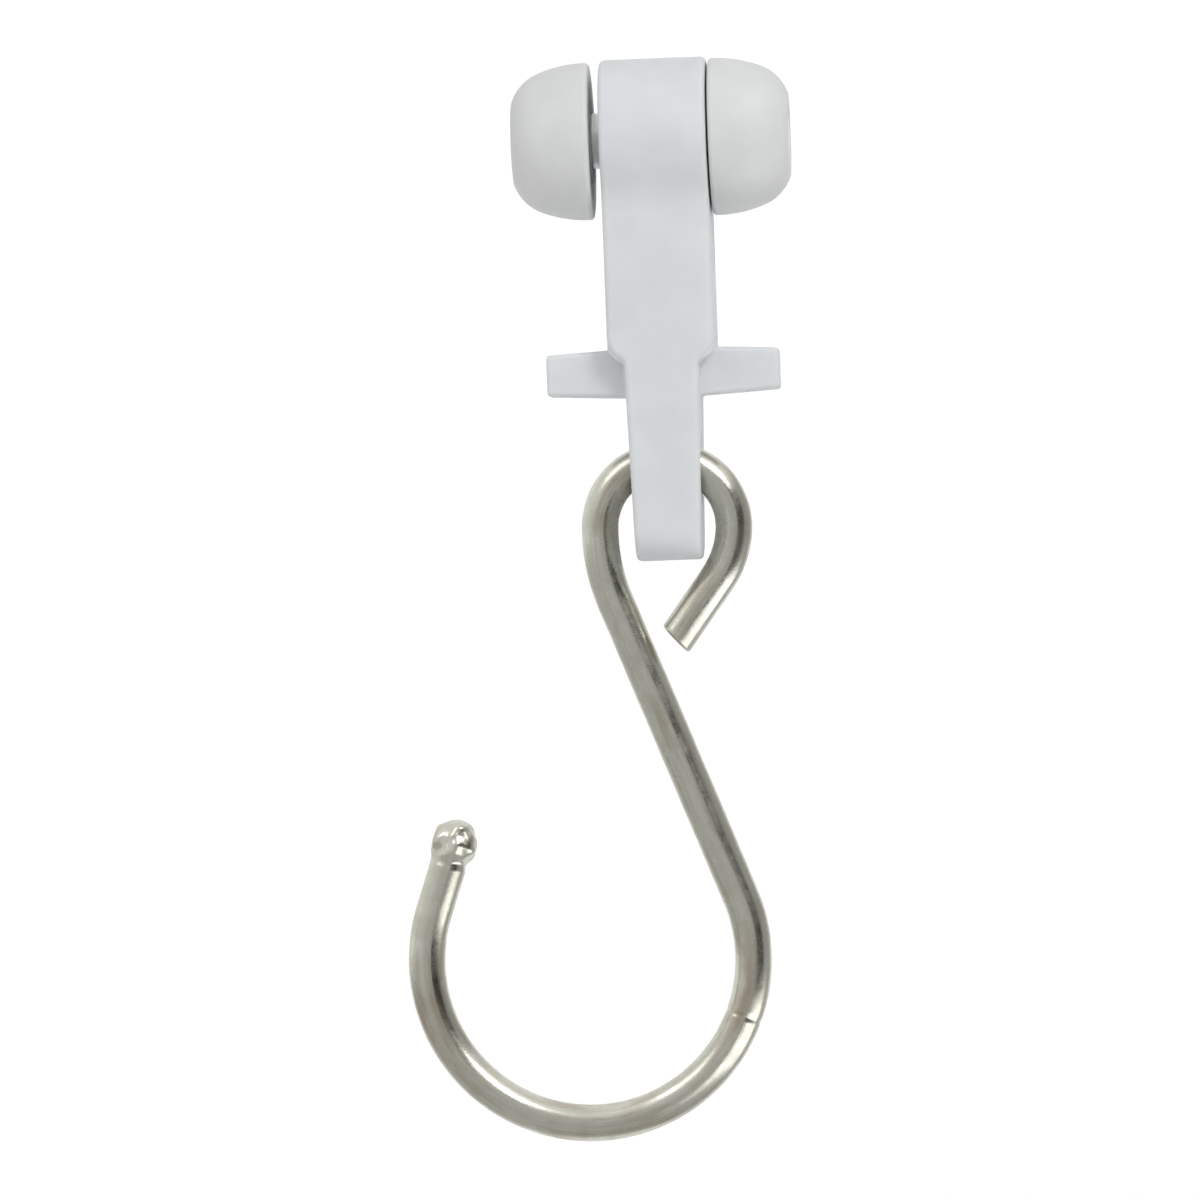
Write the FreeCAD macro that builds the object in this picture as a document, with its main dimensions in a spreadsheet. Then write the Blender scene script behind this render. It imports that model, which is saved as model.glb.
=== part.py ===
# Roller glider for a curtain track: a moulded carrier on two wheels, with a wire hook hung in its eye.
# Frame: X along the axle, Y along the track, Z up. The origin lies midway between the wheels, on the plane
# that they roll on. Lengths are in millimetres, and every drop is measured down from the axle.
import FreeCAD, Part
import math
import os
from types import SimpleNamespace

import Sketcher

SIZES = {
    # wheels
    "wheel_diameter": 12.7,
    "wheel_width": 6.55,
    "crown_radius": 10.5,
    "shoulder_radius": 3.8,
    "tread_edge_round": 0.35,
    "hub_land_width": 1.0,
    "hub_land_height": 0.1,
    "recess_edge_round": 0.2,
    # axle pin, its formed heads and its fits
    "pin_diameter": 4.5,
    "pin_head_diameter": 5.7,
    "pin_head_height": 0.75,
    "pin_head_edge": 0.25,
    "pin_fit": 0.02,
    "wheel_running_gap": 0.06,
    "wheel_side_gap": 0.06,
    "wheel_play": 0.8,
    "pin_head_gap": 0.25,
    # carrier: head, neck and shoulder
    "head_diameter": 13.0,
    "neck_step": 1.6,
    "neck_blend": 6.0,
    "neck_width": 8.6,
    "shoulder_start": 16.0,
    "shoulder_height": 2.4,
    "shoulder_share": 0.68,
    "edge_round": 0.45,
    # carrier: cross arms
    "arm_span": 18.7,
    "arm_drop": 18.85,
    "arm_root_height": 4.25,
    "arm_tip_height": 3.3,
    "arm_depth": 4.6,
    "arm_round": 0.4,
    "arm_tip_round": 0.3,
    "arm_root_round": 0.35,
    # carrier: tail and eye
    "tail_top_width": 6.0,
    "tail_end_width": 5.24,
    "eye_drop": 26.45,
    "tail_below_eye": 7.55,
    "toe_radius": 2.4,
    "eye_wall": 1.9,
    "eye_gap": 0.35,
    "eye_round": 0.6,
    # hook
    "wire_diameter": 3.0,
    "loop_side_gap": 0.9,
    "hook_offset": 0.2,
    "hook_lean": 2.1,
    "tip_dip": 34.5,
    "tip_gap": 0.36,
    "tip_length": 6.4,
    "tip_round": 0.3,
    "bend_radius": 15.3,
    "loop_spacing": 34.9,
    "loop_stagger": 6.21,
    "big_loop_radius": 13.19,
    "mouth_lead": 3.86,
    "mouth_length": 5.8,
    "bead_diameter": 3.8,
    "bead_neck_round": 0.5,
}
size = SimpleNamespace(**SIZES)

# Sizes that follow from the driving ones
WHEEL_RADIUS = "(sizes.wheel_diameter / 2)"
HEAD_RADIUS = "(sizes.head_diameter / 2)"
NECK_DEPTH = f"(2 * ({HEAD_RADIUS} - sizes.neck_step))"
SHOULDER_END = "(sizes.shoulder_start + sizes.shoulder_height)"
SHOULDER_STEP = "((sizes.neck_width - sizes.tail_top_width) / 2)"
BULGE_RADIUS = (f"(sizes.shoulder_share * (sizes.shoulder_height ^ 2 + {SHOULDER_STEP} ^ 2)"
                f" / (2 * {SHOULDER_STEP}))")
TAIL_DROP = "(sizes.eye_drop + sizes.tail_below_eye)"
RECESS_DEPTH = "(sizes.pin_head_height + sizes.wheel_play)"
RECESS_RADIUS = "(sizes.pin_head_diameter / 2 + sizes.pin_head_gap)"
BORE_RADIUS = "(sizes.pin_diameter / 2 + sizes.wheel_running_gap)"
LAND_RADIUS = f"({BORE_RADIUS} + sizes.hub_land_width)"
PIN_HALF = f"(sizes.neck_width / 2 + sizes.wheel_play + sizes.wheel_width - {RECESS_DEPTH})"
LOOP_RADIUS = "(sizes.tail_top_width / 2 + sizes.loop_side_gap + sizes.wire_diameter / 2)"
ARCH_SPAN = "(sizes.tail_top_width / 2 + sizes.hook_offset - sizes.eye_round / 2)"
ARCH_CHORD = f"sqrt({LOOP_RADIUS} ^ 2 - {ARCH_SPAN} ^ 2)"
ARCH_HEIGHT = f"({LOOP_RADIUS} - {ARCH_CHORD} + sizes.wire_diameter / 2 * (1 + {LOOP_RADIUS} / {ARCH_CHORD}))"
EYE_RADIUS = f"({ARCH_HEIGHT} / 2 + sizes.eye_gap)"
ARCH_RISE = f"({EYE_RADIUS} - sizes.eye_gap - sizes.wire_diameter / 2)"
TAIL_DEPTH = f"(2 * ({EYE_RADIUS} + sizes.eye_wall))"
TAIL_CORNER_X = "(sizes.tail_end_width / 2 + sizes.hook_offset)"
TAIL_CORNER_DROP = f"(sizes.tail_below_eye + {ARCH_RISE} - {LOOP_RADIUS})"
TIP_REACH = (f"({TAIL_CORNER_X} * cos(sizes.tip_dip) + {TAIL_CORNER_DROP} * sin(sizes.tip_dip)"
             " + sizes.tip_gap + sizes.wire_diameter / 2)")
TIP_BEND = f"(({TIP_REACH} - {LOOP_RADIUS} * cos(sizes.tip_dip)) / (1 - cos(sizes.tip_dip)))"
TIP_LEAD = f"({TIP_BEND} * sin(sizes.tip_dip))"
MOUTH_CHORD = "sqrt(sizes.big_loop_radius ^ 2 - sizes.mouth_lead ^ 2)"
BEAD_X = (f"-sizes.loop_stagger - {MOUTH_CHORD}"
          " + sizes.mouth_length * sizes.mouth_lead / sizes.big_loop_radius")
BEAD_Z = (f"-sizes.loop_spacing + sizes.mouth_lead"
          f" + sizes.mouth_length * {MOUTH_CHORD} / sizes.big_loop_radius")

# Point and axis numbers that a sketch uses for its constraints
START, END, CENTRE = 1, 2, 3
ORIGIN = (-1, START)
ACROSS, UPWARD = -1, -2

SMOOTH_TURN = math.radians(15)


def fill_sheet(doc):
    """Writes the driving sizes to the sheet, one named cell each."""
    sheet = doc.addObject("Spreadsheet::Sheet", "sizes")
    for row, (name, number) in enumerate(SIZES.items(), 1):
        sheet.set(f"A{row}", name)
        sheet.set(f"B{row}", str(number))
        sheet.setAlias(f"B{row}", name)
    doc.recompute()
    return sheet


def new_body(doc, label):
    body = doc.addObject("PartDesign::Body", label)
    body.Label = label
    return body


def origin_part(body, role):
    return next(part for part in body.Origin.OriginFeatures if part.Role == role)


def new_sketch(body, name, plane):
    sketch = body.newObject("Sketcher::SketchObject", name)
    sketch.AttachmentSupport = (origin_part(body, plane), [""])
    sketch.MapMode = "FlatFace"
    return sketch


def value(formula):
    return float(FreeCAD.ActiveDocument.sizes.evalExpression(formula.replace("sizes.", "")))


def line(sketch, start, end):
    return sketch.addGeometry(Part.LineSegment(FreeCAD.Vector(*start), FreeCAD.Vector(*end)), False)


def arc(sketch, centre, radius, first, last):
    """Adds an arc that runs anticlockwise from one angle to the other, in degrees."""
    circle = Part.Circle(FreeCAD.Vector(*centre), FreeCAD.Vector(0, 0, 1), radius)
    return sketch.addGeometry(Part.ArcOfCircle(circle, math.radians(first), math.radians(last)), False)


def constrain(sketch, kind, *references):
    sketch.addConstraint(Sketcher.Constraint(kind, *references))


def dimension(sketch, name, kind, references, formula):
    """Adds a named dimension that follows the sheet."""
    index = sketch.addConstraint(Sketcher.Constraint(kind, *references, value(formula)))
    sketch.renameConstraint(index, name)
    sketch.setExpression("Constraints." + name, formula)


def chain(sketch, joints):
    """Joins ends of a sketch's curves, each joint as (kind, curve, end, curve, end)."""
    for kind, *ends in joints:
        constrain(sketch, kind, *ends)


def circle_sketch(body, name, plane, radius, height):
    """A circle on the plane's upward axis, at the height, which may be None for one at the origin."""
    sketch = new_sketch(body, name, plane)
    centre = FreeCAD.Vector(0, value(height) if height else 0, 0)
    ring = sketch.addGeometry(Part.Circle(centre, FreeCAD.Vector(0, 0, 1), value(radius)), False)
    dimension(sketch, "radius", "Radius", (ring,), radius)
    if height is None:
        constrain(sketch, "Coincident", ring, CENTRE, *ORIGIN)
        return sketch
    constrain(sketch, "PointOnObject", ring, CENTRE, UPWARD)
    low_to_high = (*ORIGIN, ring, CENTRE) if centre.y > 0 else (ring, CENTRE, *ORIGIN)
    dimension(sketch, "height", "DistanceY", low_to_high, height if centre.y > 0 else f"-({height})")
    return sketch


def extrude(body, kind, name, sketch, length=None):
    """Pads or pockets a sketch to both sides of its plane, right through where no length is given."""
    feature = body.newObject("PartDesign::" + kind, name)
    feature.Profile = sketch
    feature.SideType = "Symmetric"
    if length is None:
        feature.Type = "ThroughAll"
    else:
        feature.setExpression("Length", length)
    return feature


def revolve(body, name, sketch):
    feature = body.newObject("PartDesign::Revolution", name)
    feature.Profile = sketch
    feature.ReferenceAxis = (sketch, ["H_Axis"])
    feature.Angle = 360
    return feature


def mirror(body, name, feature):
    mirrored = body.newObject("PartDesign::Mirrored", name)
    mirrored.Originals = [feature]
    mirrored.MirrorPlane = (origin_part(body, "YZ_Plane"), [""])
    body.Tip = mirrored
    return mirrored


def turn_between(faces, point):
    normals = [face.normalAt(*face.Surface.parameter(point)) for face in faces]
    return normals[0].getAngle(normals[1])


def sharp_edges(shape, accept):
    """Names the edges where two faces meet at an angle, of those whose middle is accepted."""
    names = []
    for number, edge in enumerate(shape.Edges, 1):
        middle = edge.valueAt((edge.FirstParameter + edge.LastParameter) / 2)
        faces = shape.ancestorsOfType(edge, Part.Face)
        if len(faces) == 2 and accept(middle) and turn_between(faces, middle) > SMOOTH_TURN:
            names.append(f"Edge{number}")
    return names


def round_edges(body, name, base, radius, accept):
    body.Document.recompute()
    fillet = body.newObject("PartDesign::Fillet", name)
    fillet.Base = (base, sharp_edges(base.Shape, accept))
    fillet.setExpression("Radius", radius)
    body.Document.recompute()
    return fillet


def side_outline(body):
    """The carrier seen along the axle: round head, blend into the neck, tapering sides, rounded toe."""
    sketch = new_sketch(body, "side_outline", "YZ_Plane")
    head_radius = value(HEAD_RADIUS)
    neck = value(NECK_DEPTH) / 2
    tail, drop = value(TAIL_DEPTH) / 2, value(TAIL_DROP)
    blend_y = neck + size.neck_blend
    blend_z = -math.sqrt((head_radius + size.neck_blend) ** 2 - blend_y ** 2)
    dip = math.degrees(math.atan2(-blend_z, blend_y))
    toe_z = size.toe_radius - drop
    head = arc(sketch, (0, 0, 0), head_radius, -dip, 180 + dip)
    right_blend = arc(sketch, (blend_y, blend_z, 0), size.neck_blend, 180 - dip, 180)
    right = line(sketch, (neck, blend_z, 0), (tail, toe_z, 0))
    right_toe = arc(sketch, (tail - size.toe_radius, toe_z, 0), size.toe_radius, -90, 0)
    sole = line(sketch, (tail - size.toe_radius, -drop, 0), (size.toe_radius - tail, -drop, 0))
    left_toe = arc(sketch, (size.toe_radius - tail, toe_z, 0), size.toe_radius, 180, 270)
    left = line(sketch, (-tail, toe_z, 0), (-neck, blend_z, 0))
    left_blend = arc(sketch, (-blend_y, blend_z, 0), size.neck_blend, 0, dip)
    chain(sketch, [("Tangent", head, START, right_blend, START), ("Tangent", right_blend, END, right, START),
                   ("Tangent", right, END, right_toe, END), ("Tangent", right_toe, START, sole, START),
                   ("Tangent", sole, END, left_toe, END), ("Tangent", left_toe, START, left, START),
                   ("Tangent", left, END, left_blend, START), ("Tangent", left_blend, END, head, END)])
    constrain(sketch, "Coincident", head, CENTRE, *ORIGIN)
    constrain(sketch, "Horizontal", sole)
    constrain(sketch, "Symmetric", right, START, left, END, UPWARD)
    constrain(sketch, "Symmetric", right, END, left, START, UPWARD)
    dimension(sketch, "head_radius", "Radius", (head,), HEAD_RADIUS)
    dimension(sketch, "neck_blend", "Radius", (right_blend,), "sizes.neck_blend")
    dimension(sketch, "toe_radius", "Radius", (right_toe,), "sizes.toe_radius")
    dimension(sketch, "neck_depth", "DistanceX", (left, END, right, START), NECK_DEPTH)
    dimension(sketch, "tail_depth", "DistanceX", (left, START, right, END), TAIL_DEPTH)
    dimension(sketch, "tail_drop", "DistanceY", (sole, START, *ORIGIN), TAIL_DROP)
    return sketch


def shoulder_cut(body):
    """What is taken off one side of the carrier, seen along the track: a curved shoulder, then the tail."""
    sketch = new_sketch(body, "shoulder_cut", "XZ_Plane")
    neck, top, end = size.neck_width / 2, size.tail_top_width / 2, size.tail_end_width / 2
    upper, lower, bottom = -size.shoulder_start, -value(SHOULDER_END), -value(TAIL_DROP)
    far = size.neck_width
    turn = 2 * math.atan2(neck - top, size.shoulder_height)
    bulge_radius = value(BULGE_RADIUS)
    hollow = size.shoulder_height / math.sin(turn) - bulge_radius
    bend = math.degrees(turn)
    bulge = arc(sketch, (neck - bulge_radius, upper, 0), bulge_radius, -bend, 0)
    sweep = arc(sketch, (top + hollow, lower, 0), hollow, 180 - bend, 180)
    side = line(sketch, (top, lower, 0), (end, bottom, 0))
    below = line(sketch, (end, bottom, 0), (far, bottom, 0))
    outside = line(sketch, (far, bottom, 0), (far, upper, 0))
    above = line(sketch, (far, upper, 0), (neck, upper, 0))
    chain(sketch, [("Tangent", bulge, START, sweep, START), ("Tangent", sweep, END, side, START),
                   ("Coincident", side, END, below, START), ("Coincident", below, END, outside, START),
                   ("Coincident", outside, END, above, START), ("Coincident", above, END, bulge, END)])
    constrain(sketch, "Horizontal", below)
    constrain(sketch, "Vertical", outside)
    constrain(sketch, "Horizontal", above)
    constrain(sketch, "Horizontal", bulge, CENTRE, bulge, END)
    dimension(sketch, "neck", "DistanceX", (*ORIGIN, bulge, END), "sizes.neck_width / 2")
    dimension(sketch, "shoulder_start", "DistanceY", (bulge, END, *ORIGIN), "sizes.shoulder_start")
    dimension(sketch, "bulge_radius", "Radius", (bulge,), BULGE_RADIUS)
    dimension(sketch, "tail_top", "DistanceX", (*ORIGIN, side, START), "sizes.tail_top_width / 2")
    dimension(sketch, "shoulder_end", "DistanceY", (side, START, *ORIGIN), SHOULDER_END)
    dimension(sketch, "tail_end", "DistanceX", (*ORIGIN, side, END), "sizes.tail_end_width / 2")
    dimension(sketch, "tail_drop", "DistanceY", (side, END, *ORIGIN), TAIL_DROP)
    dimension(sketch, "far", "DistanceX", (*ORIGIN, outside, START), "sizes.neck_width")
    return sketch


def arm_section(body, name, reach, height):
    """A rounded rectangle across an arm, standing at the given distance along the axle."""
    sketch = new_sketch(body, name, "YZ_Plane")
    sketch.setExpression("AttachmentOffset.Base.z", reach)
    side, rise, corner = size.arm_depth / 2, value(height) / 2, size.arm_round
    middle = -size.arm_drop
    flat_y, flat_z = side - corner, rise - corner
    right = line(sketch, (side, middle - flat_z, 0), (side, middle + flat_z, 0))
    top = line(sketch, (flat_y, middle + rise, 0), (-flat_y, middle + rise, 0))
    left = line(sketch, (-side, middle + flat_z, 0), (-side, middle - flat_z, 0))
    bottom = line(sketch, (-flat_y, middle - rise, 0), (flat_y, middle - rise, 0))
    sides = [right, top, left, bottom]
    corners = [arc(sketch, (flat_y * y, middle + flat_z * z, 0), corner, first, first + 90)
               for y, z, first in ((1, 1, 0), (-1, 1, 90), (-1, -1, 180), (1, -1, 270))]
    for before, turn, after in zip(sides, corners, sides[1:] + sides[:1]):
        chain(sketch, [("Tangent", before, END, turn, START), ("Tangent", turn, END, after, START)])
    for upright, level in ((right, top), (left, bottom)):
        constrain(sketch, "Vertical", upright)
        constrain(sketch, "Horizontal", level)
    for turn in corners[1:]:
        constrain(sketch, "Equal", corners[0], turn)
    dimension(sketch, "corner", "Radius", (corners[0],), "sizes.arm_round")
    dimension(sketch, "side", "DistanceX", (*ORIGIN, right, START), "sizes.arm_depth / 2")
    dimension(sketch, "depth", "DistanceX", (left, END, right, START), "sizes.arm_depth")
    dimension(sketch, "height", "DistanceY", (bottom, END, top, START), height)
    dimension(sketch, "top", "DistanceY", (top, START, *ORIGIN), f"sizes.arm_drop - {height} / 2")
    return sketch


def cross_arms(body):
    """Both arms in one loft, thickest in the middle of the carrier."""
    loft = body.newObject("PartDesign::AdditiveLoft", "arms")
    loft.Ruled = True
    loft.Profile = arm_section(body, "left_tip", "-sizes.arm_span / 2", "sizes.arm_tip_height")
    loft.Sections = [arm_section(body, "root", "0", "sizes.arm_root_height"),
                     arm_section(body, "right_tip", "sizes.arm_span / 2", "sizes.arm_tip_height")]
    return loft


def near_arms(point):
    side = size.arm_depth / 2 + size.arm_root_round
    return abs(point.y) < side and abs(point.z + size.arm_drop) < size.arm_root_height


def carrier_body(doc):
    body = new_body(doc, "carrier_body")
    body.setExpression("Placement.Base.z", WHEEL_RADIUS)
    extrude(body, "Pad", "blade", side_outline(body), "sizes.neck_width")
    cut = extrude(body, "Pocket", "shoulder", shoulder_cut(body))
    blade = mirror(body, "other_shoulder", cut)
    round_edges(body, "blade_edges", blade, "sizes.edge_round", lambda point: True)
    inside_tip = size.arm_span / 2 - size.arm_tip_round
    tips = round_edges(body, "arm_tips", cross_arms(body), "sizes.arm_tip_round",
                       lambda point: abs(point.x) > inside_tip)
    round_edges(body, "arm_roots", tips, "sizes.arm_root_round", near_arms)
    extrude(body, "Pocket", "axle_hole",
            circle_sketch(body, "axle_circle", "YZ_Plane", "sizes.pin_diameter / 2 + sizes.pin_fit", None))
    eye = extrude(body, "Pocket", "eye",
                  circle_sketch(body, "eye_circle", "YZ_Plane", EYE_RADIUS, "-sizes.eye_drop"))
    eye_reach = value(EYE_RADIUS) + size.eye_round
    round_edges(body, "eye_edges", eye, "sizes.eye_round",
                lambda point: math.hypot(point.y, point.z + size.eye_drop) < eye_reach)
    return body


def pin_outline(body):
    """Half of the axle pin: shank from the middle, then a head with a short rim and a low dome."""
    sketch = new_sketch(body, "pin_outline", "XZ_Plane")
    half = value(PIN_HALF)
    shank, head = size.pin_diameter / 2, size.pin_head_diameter / 2
    rim, top = half + size.pin_head_edge, half + size.pin_head_height
    dome_height = top - rim
    dome_radius = (head ** 2 + dome_height ** 2) / (2 * dome_height)
    dome_turn = math.degrees(math.asin(head / dome_radius))
    points = [(0, 0, 0), (0, shank, 0), (half, shank, 0), (half, head, 0), (rim, head, 0)]
    middle, shank_side, under_head, edge = [line(sketch, *pair) for pair in zip(points, points[1:])]
    dome = arc(sketch, (top - dome_radius, 0, 0), dome_radius, 0, dome_turn)
    axis = line(sketch, (top, 0, 0), (0, 0, 0))
    chain(sketch, [("Coincident", middle, END, shank_side, START),
                   ("Coincident", shank_side, END, under_head, START),
                   ("Coincident", under_head, END, edge, START), ("Coincident", edge, END, dome, END),
                   ("Coincident", dome, START, axis, START), ("Coincident", axis, END, middle, START)])
    constrain(sketch, "Coincident", middle, START, *ORIGIN)
    constrain(sketch, "Vertical", middle)
    constrain(sketch, "Horizontal", shank_side)
    constrain(sketch, "Vertical", under_head)
    constrain(sketch, "Horizontal", edge)
    constrain(sketch, "Horizontal", axis)
    constrain(sketch, "PointOnObject", dome, CENTRE, ACROSS)
    dimension(sketch, "shank_radius", "DistanceY", (middle, START, middle, END), "sizes.pin_diameter / 2")
    dimension(sketch, "half_length", "DistanceX", (shank_side, START, shank_side, END), PIN_HALF)
    dimension(sketch, "head_radius", "DistanceY", (*ORIGIN, edge, END), "sizes.pin_head_diameter / 2")
    dimension(sketch, "head_edge", "DistanceX", (edge, START, edge, END), "sizes.pin_head_edge")
    dimension(sketch, "head_top", "DistanceX", (axis, END, axis, START), f"{PIN_HALF} + sizes.pin_head_height")
    return sketch


def axle_pin(doc):
    body = new_body(doc, "axle_pin")
    body.setExpression("Placement.Base.z", WHEEL_RADIUS)
    half = revolve(body, "half_pin", pin_outline(body))
    mirror(body, "other_half", half)
    return body


def wheel_outline(body):
    """Half section of a wheel, from its hub land at x = 0 out to the recess for the pin's head."""
    sketch = new_sketch(body, "wheel_outline", "XZ_Plane")
    bore, land, recess = value(BORE_RADIUS), value(LAND_RADIUS), value(RECESS_RADIUS)
    rim_radius, step, edge = size.wheel_diameter / 2, size.hub_land_height, size.tread_edge_round
    width, floor = size.wheel_width, size.wheel_width - value(RECESS_DEPTH)
    crown_x, crown_z = step + edge, rim_radius - size.crown_radius
    apart = size.crown_radius - size.shoulder_radius
    shoulder_x = width - size.shoulder_radius
    lean = math.acos((shoulder_x - crown_x) / apart)
    shoulder_z = crown_z + apart * math.sin(lean)
    meeting = math.degrees(lean)
    lip = math.degrees(math.asin((recess - shoulder_z) / size.shoulder_radius))
    bore_side = line(sketch, (0, bore, 0), (floor, bore, 0))
    recess_floor = line(sketch, (floor, bore, 0), (floor, recess, 0))
    recess_side = line(sketch, (floor, recess, 0), (width, recess, 0))
    shoulder = arc(sketch, (shoulder_x, shoulder_z, 0), size.shoulder_radius, lip, meeting)
    crown = arc(sketch, (crown_x, crown_z, 0), size.crown_radius, meeting, 90)
    corner = arc(sketch, (crown_x, rim_radius - edge, 0), edge, 90, 180)
    rim_face = line(sketch, (step, rim_radius - edge, 0), (step, land, 0))
    land_side = line(sketch, (step, land, 0), (0, land, 0))
    land_face = line(sketch, (0, land, 0), (0, bore, 0))
    chain(sketch, [("Coincident", bore_side, END, recess_floor, START),
                   ("Coincident", recess_floor, END, recess_side, START),
                   ("Coincident", recess_side, END, shoulder, START), ("Tangent", shoulder, END, crown, START),
                   ("Tangent", crown, END, corner, START), ("Tangent", corner, END, rim_face, START),
                   ("Coincident", rim_face, END, land_side, START),
                   ("Coincident", land_side, END, land_face, START),
                   ("Coincident", land_face, END, bore_side, START)])
    for level in (bore_side, recess_side, land_side):
        constrain(sketch, "Horizontal", level)
    for upright in (recess_floor, rim_face, land_face):
        constrain(sketch, "Vertical", upright)
    constrain(sketch, "PointOnObject", land_face, START, UPWARD)
    constrain(sketch, "Vertical", crown, CENTRE, crown, END)
    dimension(sketch, "bore_radius", "DistanceY", (*ORIGIN, bore_side, START), BORE_RADIUS)
    dimension(sketch, "land_radius", "DistanceY", (*ORIGIN, land_face, START), LAND_RADIUS)
    dimension(sketch, "land_height", "DistanceX", (land_side, END, land_side, START), "sizes.hub_land_height")
    dimension(sketch, "tread_radius", "DistanceY", (*ORIGIN, crown, END), WHEEL_RADIUS)
    dimension(sketch, "tread_edge", "Radius", (corner,), "sizes.tread_edge_round")
    dimension(sketch, "crown_radius", "Radius", (crown,), "sizes.crown_radius")
    dimension(sketch, "shoulder_radius", "Radius", (shoulder,), "sizes.shoulder_radius")
    dimension(sketch, "recess_radius", "DistanceY", (*ORIGIN, recess_side, END), RECESS_RADIUS)
    dimension(sketch, "width", "DistanceX", (*ORIGIN, recess_side, END), "sizes.wheel_width")
    dimension(sketch, "hub_length", "DistanceX", (bore_side, START, bore_side, END),
              f"sizes.wheel_width - {RECESS_DEPTH}")
    return sketch


def wheel(doc, label, turn, inner_face):
    """One wheel, turned about the upright so that its dome faces out, with its hub land at inner_face."""
    body = new_body(doc, label)
    body.Placement.Rotation = FreeCAD.Rotation(FreeCAD.Vector(0, 0, 1), turn)
    body.setExpression("Placement.Base.x", inner_face)
    body.setExpression("Placement.Base.z", WHEEL_RADIUS)
    disc = revolve(body, "disc", wheel_outline(body))
    mouth = value(RECESS_RADIUS) + size.recess_edge_round
    hub_length = size.wheel_width - value(RECESS_DEPTH)
    round_edges(body, "recess_edge", disc, "sizes.recess_edge_round",
                lambda point: point.x > hub_length + size.recess_edge_round and math.hypot(point.y, point.z) < mouth)
    return body


def tip_path(body):
    """The wire's line from the top of the small loop round to its cut end."""
    sketch = new_sketch(body, "tip_path", "XZ_Plane")
    radius, bend = value(LOOP_RADIUS), value(TIP_BEND)
    bend_x = radius - bend
    dip = math.radians(size.tip_dip)
    leave = (bend_x + bend * math.cos(dip), -bend * math.sin(dip), 0)
    tip = (leave[0] - size.tip_length * math.sin(dip), leave[1] - size.tip_length * math.cos(dip), 0)
    loop = arc(sketch, (0, 0, 0), radius, 0, 90)
    curve = arc(sketch, (bend_x, 0, 0), bend, -size.tip_dip, 0)
    straight = line(sketch, leave, tip)
    chain(sketch, [("Tangent", loop, START, curve, END), ("Tangent", curve, START, straight, START)])
    constrain(sketch, "Coincident", loop, CENTRE, *ORIGIN)
    constrain(sketch, "PointOnObject", loop, END, UPWARD)
    constrain(sketch, "PointOnObject", curve, CENTRE, ACROSS)
    dimension(sketch, "radius", "Radius", (loop,), LOOP_RADIUS)
    dimension(sketch, "bend", "Radius", (curve,), TIP_BEND)
    dimension(sketch, "lead", "DistanceY", (curve, START, *ORIGIN), TIP_LEAD)
    dimension(sketch, "length", "Distance", (straight,), "sizes.tip_length")
    return sketch


def shank_path(body):
    """The wire's line from the top of the small loop, down the shank and round the big loop to its bead."""
    sketch = new_sketch(body, "shank_path", "XZ_Plane")
    radius, bend, big = value(LOOP_RADIUS), size.bend_radius, size.big_loop_radius
    bend_x = bend - radius
    big_x, big_z = -size.loop_stagger, -size.loop_spacing
    across, down = big_x - bend_x, big_z
    heading = math.atan2(down, across) + math.asin((bend + big) / math.hypot(across, down))
    side_x, side_z = -math.sin(heading), math.cos(heading)
    slant = math.degrees(heading) + 90
    rise = math.degrees(math.asin(size.mouth_lead / big))
    mouth = (big_x - value(MOUTH_CHORD), big_z + size.mouth_lead, 0)
    loop = arc(sketch, (0, 0, 0), radius, 90, 180)
    curve = arc(sketch, (bend_x, 0, 0), bend, 180, 180 + slant)
    shank = line(sketch, (bend_x - bend * side_x, -bend * side_z, 0),
                 (big_x + big * side_x, big_z + big * side_z, 0))
    big_loop = arc(sketch, (big_x, big_z, 0), big, 180 - rise, 360 + slant)
    end = line(sketch, mouth, (value(BEAD_X), value(BEAD_Z), 0))
    chain(sketch, [("Tangent", loop, END, curve, START), ("Tangent", curve, END, shank, START),
                   ("Tangent", shank, END, big_loop, END), ("Tangent", big_loop, START, end, START)])
    constrain(sketch, "Coincident", loop, CENTRE, *ORIGIN)
    constrain(sketch, "PointOnObject", loop, START, UPWARD)
    constrain(sketch, "PointOnObject", curve, CENTRE, ACROSS)
    dimension(sketch, "radius", "Radius", (loop,), LOOP_RADIUS)
    dimension(sketch, "bend", "Radius", (curve,), "sizes.bend_radius")
    dimension(sketch, "big_radius", "Radius", (big_loop,), "sizes.big_loop_radius")
    dimension(sketch, "stagger", "DistanceX", (big_loop, CENTRE, *ORIGIN), "sizes.loop_stagger")
    dimension(sketch, "spacing", "DistanceY", (big_loop, CENTRE, *ORIGIN), "sizes.loop_spacing")
    dimension(sketch, "lead", "DistanceY", (big_loop, CENTRE, big_loop, START), "sizes.mouth_lead")
    dimension(sketch, "length", "Distance", (end,), "sizes.mouth_length")
    return sketch


def sweep_wire(body, name, path):
    section = circle_sketch(body, name + "_section", "YZ_Plane", "sizes.wire_diameter / 2", LOOP_RADIUS)
    pipe = body.newObject("PartDesign::AdditivePipe", name)
    pipe.Profile = section
    pipe.Spine = (path, [])
    return pipe


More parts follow.
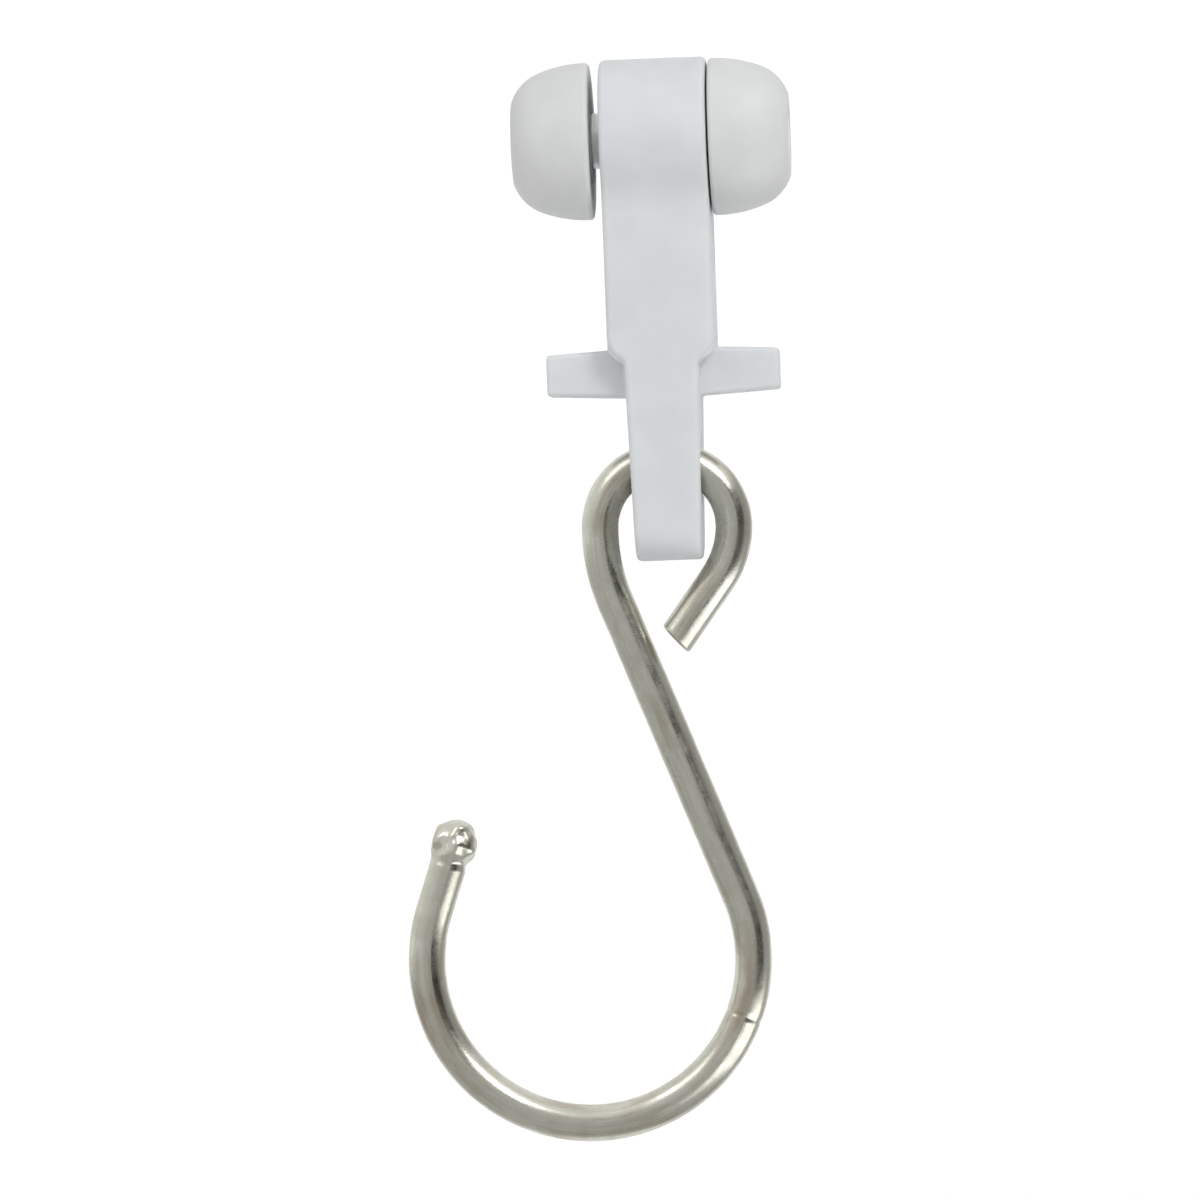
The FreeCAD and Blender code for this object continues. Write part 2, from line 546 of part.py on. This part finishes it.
def hook(doc):
    """The wire hook, built about the centre of its small loop and hung so that the loop's top fills the eye."""
    body = new_body(doc, "hook")
    body.Placement.Rotation = FreeCAD.Rotation(FreeCAD.Vector(0, 1, 0), size.hook_lean)
    body.setExpression("Placement.Rotation.Angle", "sizes.hook_lean * 1 deg")
    body.setExpression("Placement.Base.x", "-sizes.hook_offset")
    body.setExpression("Placement.Base.z", f"{WHEEL_RADIUS} - sizes.eye_drop + {ARCH_RISE} - {LOOP_RADIUS}")
    sweep_wire(body, "tip_wire", tip_path(body))
    sweep_wire(body, "shank_wire", shank_path(body))
    bead = body.newObject("PartDesign::AdditiveSphere", "bead")
    bead.setExpression("Radius", "sizes.bead_diameter / 2")
    bead.setExpression("Placement.Base.x", BEAD_X)
    bead.setExpression("Placement.Base.z", BEAD_Z)
    bead_reach = FreeCAD.Vector(value(BEAD_X), 0, value(BEAD_Z))
    neck = round_edges(body, "bead_neck", bead, "sizes.bead_neck_round",
                       lambda point: point.distanceToPoint(bead_reach) < size.bead_diameter)
    round_edges(body, "tip_edge", neck, "sizes.tip_round",
                lambda point: point.distanceToPoint(bead_reach) > size.bead_diameter)
    return body


def check(doc, bodies):
    """Stops before anything is written if a feature failed or a piece has no sound solid."""
    for item in doc.Objects:
        faults = {"Invalid", "Error"} & set(item.State)
        if faults:
            raise RuntimeError(f"{item.Label} is {faults}")
    for body in bodies:
        if body.Shape.isNull() or not body.Shape.isValid() or len(body.Shape.Solids) != 1:
            raise RuntimeError(f"{body.Label} is not one sound solid")


def main():
    doc = FreeCAD.newDocument("curtain_glider")
    fill_sheet(doc)
    left_face = "-(sizes.neck_width / 2 + sizes.wheel_play - sizes.wheel_side_gap)"
    right_face = "sizes.neck_width / 2 + sizes.wheel_side_gap"
    bodies = [carrier_body(doc), axle_pin(doc), wheel(doc, "wheel_left", 180, left_face),
              wheel(doc, "wheel_right", 0, right_face), hook(doc)]
    doc.recompute()
    check(doc, bodies)
    os.makedirs("parts", exist_ok=True)
    for body in bodies:
        body.Shape.exportStep(f"parts/{body.Label}.step")


main()
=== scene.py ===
from collections import namedtuple
import math

import bmesh
import bpy
from mathutils import Matrix, Vector, noise

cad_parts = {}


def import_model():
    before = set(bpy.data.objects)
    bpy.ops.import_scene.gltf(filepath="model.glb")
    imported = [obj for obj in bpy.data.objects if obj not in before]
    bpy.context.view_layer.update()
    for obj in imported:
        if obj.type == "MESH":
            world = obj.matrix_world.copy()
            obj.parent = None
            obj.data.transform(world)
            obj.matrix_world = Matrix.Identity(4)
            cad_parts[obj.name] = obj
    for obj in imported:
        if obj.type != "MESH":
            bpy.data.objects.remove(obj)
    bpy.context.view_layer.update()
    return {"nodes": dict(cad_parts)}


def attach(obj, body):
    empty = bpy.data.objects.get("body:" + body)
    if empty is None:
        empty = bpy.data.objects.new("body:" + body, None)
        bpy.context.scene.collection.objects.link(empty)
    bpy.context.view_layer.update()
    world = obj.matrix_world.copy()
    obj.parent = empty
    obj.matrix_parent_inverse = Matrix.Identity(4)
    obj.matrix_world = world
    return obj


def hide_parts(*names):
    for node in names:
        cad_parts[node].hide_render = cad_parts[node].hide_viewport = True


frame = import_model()

# Lengths are in millimetres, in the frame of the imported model, until MM turns them into metres.
# Angles are in degrees.
MM = 0.001

# The hook's wire, about the centre of its small loop
WIRE_RADIUS = 1.5
LOOP_RADIUS = 5.4
TIP_DIP = 34.5
TIP_BEND = 7.22
TIP_LENGTH = 6.4
TIP_ROUND = 0.3
SHANK_BEND = 15.3
BIG_RADIUS = 13.19
BIG_CENTRE = Vector((-6.21, -34.9))
MOUTH_LEAD = 3.86
MOUTH_LENGTH = 5.8
HOOK_LEAN = 2.1
HOOK_PLACE = Vector((-0.2, 0, -24.9385))

# The bead on the wire's end. The wire's own rings stop BEAD_LEAD of its radii before its middle,
# and the bead's rings start BEAD_NECK radii before it.
BEAD_RADIUS = 1.9
BEAD_BLEND = 0.6
BEAD_LEAD = 1.3
BEAD_NECK = 1.25

# How closely the rings follow the wire
WIRE_SIDES = 48
BEAD_RINGS = 40
ROUND_STEP = 15
TIGHT_BEND_STEP = 3
WIDE_BEND_STEP = 2
DENT_STEP = 0.25
LINE_STEP = 0.6
MOUTH_STEP = 0.4
POLE_GAP = 0.001
UV_LENGTH = 10

# Traces of the making: waves in the drawn wire, lumps on the melted bead, a dent left by the
# bending tool and a slanted cut. Each SINK moves a noise inwards.
WAVE_HEIGHT = 0.012
WAVE_LENGTH = 4.0
WAVE_SINK = 0.8
LUMP_HEIGHT = 0.38
LUMP_SIZE = 1.15
LUMP_SHIFT = Vector((8.3, 3.9, 1.4))
LUMP_SINK = 0.35
LUMP_REACH = 1.35
LUMP_FADE = 4
RIPPLE_HEIGHT = 0.2
RIPPLE_RATE = 2.1
DENT_ANGLE = -20
DENT_SPREAD = 3
DENT_DEPTH = 0.05
DENT_WIDTH = 0.2
CUT_SLANT = 0.62
CUT_FADE = 3.0

# The neck's lower corners, which run down to the arms behind the bend of its front face
CORNER_REACH = 4.29
CORNER_ROOT = 2.4
CORNER_TOP = -8.85
CORNER_BEND = -10.55
CORNER_FALL = 2.2
CORNER_DEPTH = 4.3
CORNER_ROUND = 0.35
CORNER_STEPS = 12
ROUND_SEGMENTS = 4
ROUND_PROFILE = 0.5

# Colours
CARRIER_PALE = (0.77, 0.793, 0.81, 1)
CARRIER_DEEP = (0.73, 0.753, 0.77, 1)
WHEEL_PALE = (0.77, 0.785, 0.775, 1)
WHEEL_DEEP = (0.73, 0.745, 0.735, 1)
WIRE_PALE = (0.64, 0.64, 0.57, 1)
WIRE_DEEP = (0.52, 0.515, 0.445, 1)
WIRE_CLOUD = (0.41, 0.395, 0.32, 1)
WIRE_TARNISH = (0.36, 0.29, 0.215, 1)
PIN_PALE = (0.80, 0.80, 0.79, 1)
PIN_DEEP = (0.68, 0.68, 0.67, 1)
WHITE = (1, 1, 1, 1)
BLACK = (0, 0, 0, 1)
FLOOR_GREY = (0.85, 0.85, 0.85, 1)

# Shares of a noise's values that are spread over a range, and ranges of roughness
WHOLE = (0, 1)
MOST = (0.3, 0.7)
MIDDLE = (0.35, 0.65)
PLASTIC_GLOSS = (0.46, 0.6)
WIRE_GLOSS = (0.22, 0.32)
PIN_GLOSS = (0.25, 0.4)

# Camera: what the middle of the picture looks at, and how much the picture's width takes in
LOOK_AT = Vector((-5.83, 0, -30.64))
PICTURE_WIDTH = 96.8
CAMERA_DISTANCE = 800
CAMERA_AZIMUTH = 3.0
CAMERA_ROLL = 2.1
CAMERA_CLIP = (10, 20000)
SENSOR = 36

# Floor and backdrop, which glow a little for the camera, more so far from the object
FLOOR_LEVEL = -105
FLOOR_FRONT = -900
FLOOR_BACK = 500
FLOOR_HALF = 1500
SWEEP_RADIUS = 300
SWEEP_STEP = 10
BACKDROP_TOP = 900
FLOOR_GLOW = 0.38
BACKDROP_GLOW = 0.5
GLOW_SPAN = (250 * MM, 600 * MM)
WORLD_LIGHT = (0.5, 1.0)

# Lamps: place, length of a side, watts
LAMPS = {
    "key": ((400, -560, 480), 260, 2.4),
    "fill": ((-480, -420, 520), 300, 0.7),
}

# Cards that only the gloss of the object shows: azimuths of the two ends, rims as (radius, height),
# strength of the white at each end
CARDS = {
    "room": ((-130, 26), ((900, -104), (900, 560)), (1.1, 0.5)),
    "table": ((-130, 130), ((1, -104), (900, -104)), (0.6, 0.45)),
    "dark": ((25, 70), ((150, -103), (880, -103), (880, 420)), (0.01, 0.01)),
    "side": ((70, 135), ((900, -104), (900, 560)), (0.35, 0.55)),
    "reflector": ((25, 100), ((45, -102), (150, -102)), (2.2, 2.2)),
}
CARD_STEPS = 24

Station = namedtuple("Station", "centre direction radius length")


def add_object(name, data):
    thing = bpy.data.objects.new(name, data)
    bpy.context.scene.collection.objects.link(thing)
    return thing


def mesh_from(shape, name):
    mesh = bpy.data.meshes.new(name)
    shape.to_mesh(mesh)
    shape.free()
    return mesh


def arc_points(centre, radius, first, last, step):
    """Points on an arc from one angle to the other, both ends included."""
    count = max(2, round(abs(last - first) / step))
    angles = [math.radians(first + (last - first) * i / count) for i in range(count + 1)]
    return [centre + radius * Vector((math.cos(a), math.sin(a))) for a in angles]


def line_points(start, end, step):
    count = max(1, round((end - start).length / step))
    return [start.lerp(end, i / count) for i in range(count + 1)]


def wire_runs():
    """The wire's centre line from its cut end to the middle of its bead, run by run."""
    tip_centre = Vector((LOOP_RADIUS - TIP_BEND, 0))
    tip_curve = arc_points(tip_centre, TIP_BEND, -TIP_DIP, 0, TIGHT_BEND_STEP)
    dip = math.radians(TIP_DIP)
    tip = tip_curve[0] - TIP_LENGTH * Vector((math.sin(dip), math.cos(dip)))
    loop = arc_points(Vector((0, 0)), LOOP_RADIUS, 0, 180, TIGHT_BEND_STEP)
    shank_centre = Vector((SHANK_BEND - LOOP_RADIUS, 0))
    apart = BIG_CENTRE - shank_centre
    tangent = math.asin((SHANK_BEND + BIG_RADIUS) / apart.length)
    heading = math.atan2(apart.y, apart.x) + tangent
    slant = math.degrees(heading) + 90
    shank_curve = arc_points(shank_centre, SHANK_BEND, 180, 180 + slant, WIDE_BEND_STEP)
    mouth_turn = math.asin(MOUTH_LEAD / BIG_RADIUS)
    big_end = -180 - math.degrees(mouth_turn)
    before, after = DENT_ANGLE + DENT_SPREAD, DENT_ANGLE - DENT_SPREAD
    to_dent = arc_points(BIG_CENTRE, BIG_RADIUS, slant, before, WIDE_BEND_STEP)
    dent = arc_points(BIG_CENTRE, BIG_RADIUS, before, after, DENT_STEP)
    from_dent = arc_points(BIG_CENTRE, BIG_RADIUS, after, big_end, WIDE_BEND_STEP)
    mouth = MOUTH_LENGTH * Vector((math.sin(mouth_turn), math.cos(mouth_turn)))
    bead = from_dent[-1] + mouth
    return [line_points(tip, tip_curve[0], LINE_STEP), tip_curve, loop, shank_curve,
            line_points(shank_curve[-1], to_dent[0], LINE_STEP), to_dent, dent, from_dent,
            line_points(from_dent[-1], bead, MOUTH_STEP)]


def wire_points():
    points = []
    for run in wire_runs():
        points += run[1:] if points else run
    return points


def smooth_max(a, b, blend):
    reach = max(blend - abs(a - b), 0) / blend
    return max(a, b) + reach * reach * blend / 4


def tip_stations(end, direction):
    """The rounded rim of the cut end."""
    stations = []
    for angle in range(90, -1, -ROUND_STEP):
        turn = math.radians(angle)
        inset = TIP_ROUND * (1 - math.sin(turn))
        radius = WIRE_RADIUS - TIP_ROUND * (1 - math.cos(turn))
        stations.append(Station(end + direction * inset, direction, radius, inset))
    return stations


def bead_stations(middle, direction, length):
    """The bead, from its neck on the wire to the point where it closes."""
    stations = []
    for step in range(BEAD_RINGS + 1):
        turn = math.pi * step / BEAD_RINGS
        reach = BEAD_RADIUS * (BEAD_NECK if turn < math.pi / 2 else 1)
        along = -reach * math.cos(turn)
        ball = math.sqrt(max(BEAD_RADIUS ** 2 - along ** 2, 0))
        radius = smooth_max(ball, WIRE_RADIUS, BEAD_BLEND) if along < 0 else ball
        stations.append(Station(middle + direction * along, direction, radius, length + along))
    return stations


def wire_stations(points):
    """Centre, direction, radius and length so far at each ring of the hook."""
    steps = [(b - a).normalized() for a, b in zip(points, points[1:])]
    turns = [(a + b).normalized() for a, b in zip(steps, steps[1:])]
    directions = [steps[0], *turns, steps[-1]]
    lengths = [0.0]
    for a, b in zip(points, points[1:]):
        lengths.append(lengths[-1] + (b - a).length)
    bead_start = lengths[-1] - BEAD_RADIUS * BEAD_LEAD
    wire = [Station(point, direction, WIRE_RADIUS, length)
            for point, direction, length in zip(points, directions, lengths)
            if TIP_ROUND < length < bead_start]
    tip = tip_stations(points[0], directions[0])
    return tip + wire + bead_stations(points[-1], directions[-1], lengths[-1])


def unevenness(point, length, bead, dent):
    """How far the wire's surface stands in or out, at a point and a length along the wire."""
    wave = (noise.noise(point / WAVE_LENGTH) - WAVE_SINK) * WAVE_HEIGHT
    near_bead = max(1 - (point - bead).length / (LUMP_REACH * BEAD_RADIUS), 0)
    place = point / LUMP_SIZE + LUMP_SHIFT
    ripple = RIPPLE_HEIGHT * noise.noise(RIPPLE_RATE * place)
    lumps = noise.noise(place) + ripple - LUMP_SINK
    lump = lumps * LUMP_HEIGHT * min(LUMP_FADE * near_bead, 1)
    groove = DENT_DEPTH * math.exp(-((length - dent) / DENT_WIDTH) ** 2)
    return wave + lump - groove


def in_plane(point):
    return Vector((point.x, 0, point.y))


def dent_length(stations):
    """Length along the wire at which the bending tool left its dent."""
    turn = math.radians(DENT_ANGLE)
    place = BIG_CENTRE + BIG_RADIUS * Vector((math.cos(turn), math.sin(turn)))
    return min(stations, key=lambda station: (station.centre - place).length).length


def hook_mesh():
    """The wire as rings along its line.

    Its texture coordinates are the share of the way round it and the length along it.
    """
    shape = bmesh.new()
    layer = shape.loops.layers.uv.new("wire")
    points = wire_points()
    stations = wire_stations(points)
    bead = in_plane(points[-1])
    dent = dent_length(stations)
    rings = []
    for centre, direction, radius, length in stations:
        side = Vector((direction.y, 0, -direction.x))
        share = min(radius / WIRE_RADIUS, 1)
        ring = []
        for i in range(WIRE_SIDES):
            turn = 2 * math.pi * i / WIRE_SIDES
            out = side * math.cos(turn) + Vector((0, 1, 0)) * math.sin(turn)
            fade = max(1 - length / CUT_FADE, 0)
            slant = CUT_SLANT * fade * (1 - share * math.cos(turn)) / 2
            surface = in_plane(centre) + out * radius
            surface += in_plane(direction) * slant
            uneven = share * unevenness(surface, length, bead, dent)
            ring.append(shape.verts.new(surface + out * uneven))
        rings.append(ring)
    for a, b, start, end in zip(rings, rings[1:], stations, stations[1:]):
        for i in range(WIRE_SIDES):
            j = (i + 1) % WIRE_SIDES
            face = shape.faces.new((a[i], a[j], b[j], b[i]))
            face.smooth = True
            low, high = start.length, end.length
            corners = ((i, low), (i + 1, low), (i + 1, high), (i, high))
            for loop, (around, along) in zip(face.loops, corners):
                loop[layer].uv = (around / WIRE_SIDES, along / UV_LENGTH)
    shape.faces.new(reversed(rings[0]))
    bmesh.ops.remove_doubles(shape, verts=rings[-1], dist=POLE_GAP)
    bmesh.ops.recalc_face_normals(shape, faces=shape.faces)
    return mesh_from(shape, "hook_wire")


def build_hook():
    mesh = hook_mesh()
    lean = Matrix.Rotation(math.radians(HOOK_LEAN), 4, "Y")
    place = Matrix.Translation(HOOK_PLACE * MM) @ lean
    mesh.transform(place @ Matrix.Scale(MM, 4))
    hook = add_object("hook_wire", mesh)
    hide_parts("hook")
    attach(hook, "hanger")
    return hook


def corner_outline():
    """Half outline of the neck's lower corners: straight down, then in to the tail."""
    outline = [Vector((CORNER_ROOT, CORNER_TOP)), Vector((CORNER_REACH, CORNER_TOP))]
    for step in range(CORNER_STEPS + 1):
        share = step / CORNER_STEPS
        inward = (1 - math.cos(math.pi * share)) / 2
        across = CORNER_REACH + (CORNER_ROOT - CORNER_REACH) * inward
        outline.append(Vector((across, CORNER_BEND - CORNER_FALL * share)))
    return outline


def neck_corners(carrier):
    """Joins the lower corners of the neck to the carrier's solid."""
    shape = bmesh.new()
    outline = corner_outline()
    for side in (-1, 1):
        front, back = [
            [shape.verts.new(Vector((side * point.x, depth, point.y)) * MM) for point in outline]
            for depth in (-CORNER_DEPTH, CORNER_DEPTH)]
        shape.faces.new(front)
        shape.faces.new(back)
        for i, after in enumerate(front):
            shape.faces.new((front[i - 1], after, back[i], back[i - 1]))
    bmesh.ops.recalc_face_normals(shape, faces=shape.faces)
    rims = []
    for edge in shape.edges:
        start, end = edge.verts
        if abs(start.co.y - end.co.y) < CORNER_DEPTH * MM:
            rims.append(edge)
    bmesh.ops.bevel(shape, geom=rims, offset=CORNER_ROUND * MM, segments=ROUND_SEGMENTS,
                    profile=ROUND_PROFILE, affect="EDGES")
    for face in shape.faces:
        face.smooth = True
    corners = add_object("neck_corners", mesh_from(shape, "neck_corners"))
    corners.hide_render = True
    corners.hide_viewport = True
    joined = carrier.modifiers.new("neck_corners", "BOOLEAN")
    joined.operation = "UNION"
    joined.object = corners


def socket_key(name):
    """A socket's number from a keyword such as i6, or else its name, from one such as From_Min."""
    return int(name[1:]) if name[1:].isdigit() else name.replace("_", " ")


class Paint:
    """A material with a Principled shader, and short calls for the nodes in front of it."""

    def __init__(self, name, **sockets):
        self.material = bpy.data.materials.new(name)
        self.material.use_nodes = True
        self.tree = self.material.node_tree
        self.shader = self.tree.nodes["Principled BSDF"]
        for socket, amount in sockets.items():
            self.shader.inputs[socket_key(socket)].default_value = amount

    def node(self, kind, settings=None, **inputs):
        made = self.tree.nodes.new("ShaderNode" + kind)
        for key, setting in (settings or {}).items():
            setattr(made, key, setting)
        for socket, source in inputs.items():
            target = made.inputs[socket_key(socket)]
            if isinstance(source, bpy.types.NodeSocket):
                self.tree.links.new(source, target)
            else:
                target.default_value = source
        return made

    def place(self, kind, scale=(1, 1, 1), location=(0, 0, 0)):
        coordinates = self.node("TexCoord").outputs[kind]
        made = self.node("Mapping", Vector=coordinates, Scale=scale, Location=location)
        return made.outputs[0]

    def noise(self, vector, scale=1, detail=3.0, roughness=0.5):
        made = self.node("TexNoise", Vector=vector, Scale=scale, Detail=detail, Roughness=roughness)
        return made.outputs["Fac"]

    def span(self, value, source, target):
        made = self.node("MapRange", Value=value, From_Min=source[0], From_Max=source[1],
                         To_Min=target[0], To_Max=target[1])
        return made.outputs["Result"]

    def mix(self, share, first, second):
        """Mixes two colours; the node's sockets for colours have the numbers 6 and 7, and 2."""
        made = self.node("Mix", {"data_type": "RGBA"}, i0=share, i6=first, i7=second)
        return made.outputs[2]

    def bump(self, height, strength, depth, under=None):
        made = self.node("Bump", Height=height, Strength=strength, Distance=depth * MM)
        if under is not None:
            self.tree.links.new(under, made.inputs["Normal"])
        return made.outputs["Normal"]

    def feed(self, **sockets):
        for socket, source in sockets.items():
            self.tree.links.new(source, self.shader.inputs[socket_key(socket)])


def plastic(name, pale, deep):
    """Moulded nylon: faint clouding, a fine grain left by the mould, and a soft, uneven gloss."""
    paint = Paint(name, Subsurface_Weight=0.4, Subsurface_Scale=1.5 * MM,
                  Subsurface_Radius=(1.0, 0.97, 0.94), IOR=1.53)
    object_place = paint.place("Object")
    cloud = paint.noise(object_place, scale=260, detail=4)
    grain = paint.noise(object_place, scale=9000, detail=2)
    streak = paint.noise(paint.place("Object", scale=(1800, 1800, 240)))
    colour = paint.mix(paint.span(cloud, MIDDLE, WHOLE), pale, deep)
    gloss = paint.span(streak, MOST, PLASTIC_GLOSS)
    normal = paint.bump(grain, strength=0.10, depth=0.01)
    normal = paint.bump(cloud, strength=0.15, depth=0.05, under=normal)
    paint.feed(Base_Color=colour, Roughness=gloss, Normal=normal)
    return paint.material


def wire_metal():
    """Drawn wire: lines along its length, and a warm grey with clouds and tarnish."""
    paint = Paint("hook_metal", Metallic=1.0)
    lines_place = paint.place("UV", scale=(60, 1.1, 1))
    lines = paint.noise(lines_place, detail=4, roughness=0.6)
    object_place = paint.place("Object")
    cloud = paint.noise(object_place, scale=520, detail=4, roughness=0.6)
    tarnish_place = paint.place("UV", scale=(5, 0.9, 1), location=(3.3, 0.4, 0))
    tarnish = paint.noise(tarnish_place, detail=4, roughness=0.6)
    grain = paint.noise(object_place, scale=3600)
    colour = paint.mix(paint.span(lines, MOST, WHOLE), WIRE_PALE, WIRE_DEEP)
    colour = paint.mix(paint.span(cloud, (0.42, 0.7), (0, 0.5)), colour, WIRE_CLOUD)
    colour = paint.mix(paint.span(tarnish, (0.5, 0.68), (0, 0.7)), colour, WIRE_TARNISH)
    gloss = paint.span(cloud, MIDDLE, WIRE_GLOSS)
    normal = paint.bump(lines, strength=0.5, depth=0.02)
    normal = paint.bump(cloud, strength=0.2, depth=0.06, under=normal)
    normal = paint.bump(grain, strength=0.25, depth=0.02, under=normal)
    paint.feed(Base_Color=colour, Roughness=gloss, Normal=normal)
    return paint.material


def pin_metal():
    """Turned steel: fine rings round the pin's axis."""
    paint = Paint("pin_metal", Metallic=1.0)
    rings = paint.noise(paint.place("Object", scale=(9000, 300, 300)))
    colour = paint.mix(paint.span(rings, MOST, WHOLE), PIN_PALE, PIN_DEEP)
    gloss = paint.span(rings, MOST, PIN_GLOSS)
    normal = paint.bump(rings, strength=0.2, depth=0.01)
    paint.feed(Base_Color=colour, Roughness=gloss, Normal=normal)
    return paint.material


def cover(thing, material):
    thing.data.materials.clear()
    thing.data.materials.append(material)


def camera():
    data = bpy.data.cameras.new("camera")
    data.sensor_width = SENSOR
    data.lens = SENSOR * CAMERA_DISTANCE / PICTURE_WIDTH
    data.clip_start, data.clip_end = (distance * MM for distance in CAMERA_CLIP)
    thing = add_object("camera", data)
    turn = Matrix.Rotation(math.radians(CAMERA_AZIMUTH), 4, "Z")
    turn = turn @ Matrix.Rotation(math.radians(90), 4, "X")
    turn = turn @ Matrix.Rotation(math.radians(-CAMERA_ROLL), 4, "Z")
    back = turn @ Vector((0, 0, CAMERA_DISTANCE))
    thing.matrix_world = Matrix.Translation((LOOK_AT + back) * MM) @ turn
    bpy.context.scene.camera = thing


def lamp(name, place, side, power):
    """A square lamp that faces the middle of the picture."""
    data = bpy.data.lights.new(name, "AREA")
    data.shape = "SQUARE"
    data.size = side * MM
    data.energy = power
    thing = add_object(name, data)
    thing.location = Vector(place) * MM
    thing.rotation_mode = "QUATERNION"
    thing.rotation_quaternion = (LOOK_AT - Vector(place)).to_track_quat("-Z", "Y")


def seen_straight(tree):
    """One for rays from the camera, gloss or clear material, so that these see the same white."""
    path = tree.nodes.new("ShaderNodeLightPath")
    total = path.outputs["Is Camera Ray"]
    for name in ("Is Glossy Ray", "Is Transmission Ray"):
        joined = tree.nodes.new("ShaderNodeMath")
        joined.operation = "MAXIMUM"
        tree.links.new(total, joined.inputs[0])
        tree.links.new(path.outputs[name], joined.inputs[1])
        total = joined.outputs[0]
    return total


def world():
    """White for the camera, and half as strong as a light on the object."""
    made = bpy.data.worlds.new("studio")
    bpy.context.scene.world = made
    made.use_nodes = True
    tree = made.node_tree
    strength = tree.nodes.new("ShaderNodeMapRange")
    strength.inputs["To Min"].default_value, strength.inputs["To Max"].default_value = WORLD_LIGHT
    tree.links.new(seen_straight(tree), strength.inputs["Value"])
    background = tree.nodes["Background"]
    background.inputs["Color"].default_value = WHITE
    tree.links.new(strength.outputs["Result"], background.inputs["Strength"])


def sweep():
    """Floor that curves up into a backdrop, pale enough to look white and still take the shadow."""
    bend = Vector((FLOOR_BACK, FLOOR_LEVEL + SWEEP_RADIUS))
    profile = [Vector((FLOOR_FRONT, FLOOR_LEVEL)), Vector((FLOOR_BACK, FLOOR_LEVEL))]
    profile += arc_points(bend, SWEEP_RADIUS, -90, 0, SWEEP_STEP)[1:]
    profile.append(Vector((FLOOR_BACK + SWEEP_RADIUS, BACKDROP_TOP)))
    shape = bmesh.new()
    rows = [[shape.verts.new(Vector((x, y, z)) * MM) for x in (-FLOOR_HALF, FLOOR_HALF)]
            for y, z in profile]
    for a, b in zip(rows, rows[1:]):
        shape.faces.new((a[0], a[1], b[1], b[0])).smooth = True
    mesh = mesh_from(shape, "floor")
    paint = Paint("floor_white", Base_Color=FLOOR_GREY, Roughness=0.8, Emission_Color=WHITE)
    distance = paint.node("VectorMath", {"operation": "LENGTH"}, i0=paint.place("Object"))
    glow = paint.span(distance.outputs["Value"], GLOW_SPAN, (FLOOR_GLOW, BACKDROP_GLOW))
    paint.feed(Emission_Strength=paint.span(seen_straight(paint.tree), WHOLE, (0, glow)))
    floor = add_object("floor", mesh)
    cover(floor, paint.material)


def card(name, azimuths, rims, greys):
    """A card that stands or lies round the object and that only its gloss shows."""
    shape = bmesh.new()
    layer = shape.loops.layers.uv.new("card")
    first, last = azimuths
    columns = []
    for step in range(CARD_STEPS + 1):
        turn = math.radians(first + (last - first) * step / CARD_STEPS)
        out = Vector((math.sin(turn), -math.cos(turn), 0))
        points = [Vector((LOOK_AT.x, 0, height)) + out * radius for radius, height in rims]
        columns.append([shape.verts.new(point * MM) for point in points])
    for step, (a, b) in enumerate(zip(columns, columns[1:])):
        for low in range(len(rims) - 1):
            face = shape.faces.new((a[low], b[low], b[low + 1], a[low + 1]))
            for loop, across in zip(face.loops, (step, step + 1, step + 1, step)):
                loop[layer].uv = (across / CARD_STEPS, 0)
    thing = add_object(name, mesh_from(shape, name))
    thing.visible_camera = False
    thing.visible_diffuse = False
    thing.visible_shadow = False
    paint = Paint(name + "_grey", Base_Color=BLACK, Roughness=1.0, Specular_IOR_Level=0.0,
                  Emission_Color=WHITE)
    across = paint.node("SeparateXYZ", Vector=paint.place("UV")).outputs["X"]
    paint.feed(Emission_Strength=paint.span(across, WHOLE, greys))
    cover(thing, paint.material)


def main():
    nodes = frame["nodes"]
    carrier = plastic("carrier_nylon", CARRIER_PALE, CARRIER_DEEP)
    wheels = plastic("wheel_nylon", WHEEL_PALE, WHEEL_DEEP)
    neck_corners(nodes["carrier_body"])
    cover(nodes["carrier_body"], carrier)
    cover(nodes["wheel_left"], wheels)
    cover(nodes["wheel_right"], wheels)
    cover(nodes["axle_pin"], pin_metal())
    cover(build_hook(), wire_metal())
    camera()
    world()
    sweep()
    for name, figures in LAMPS.items():
        lamp(name, *figures)
    for name, figures in CARDS.items():
        card(name, *figures)
    bpy.context.scene.view_settings.view_transform = "Standard"


main()
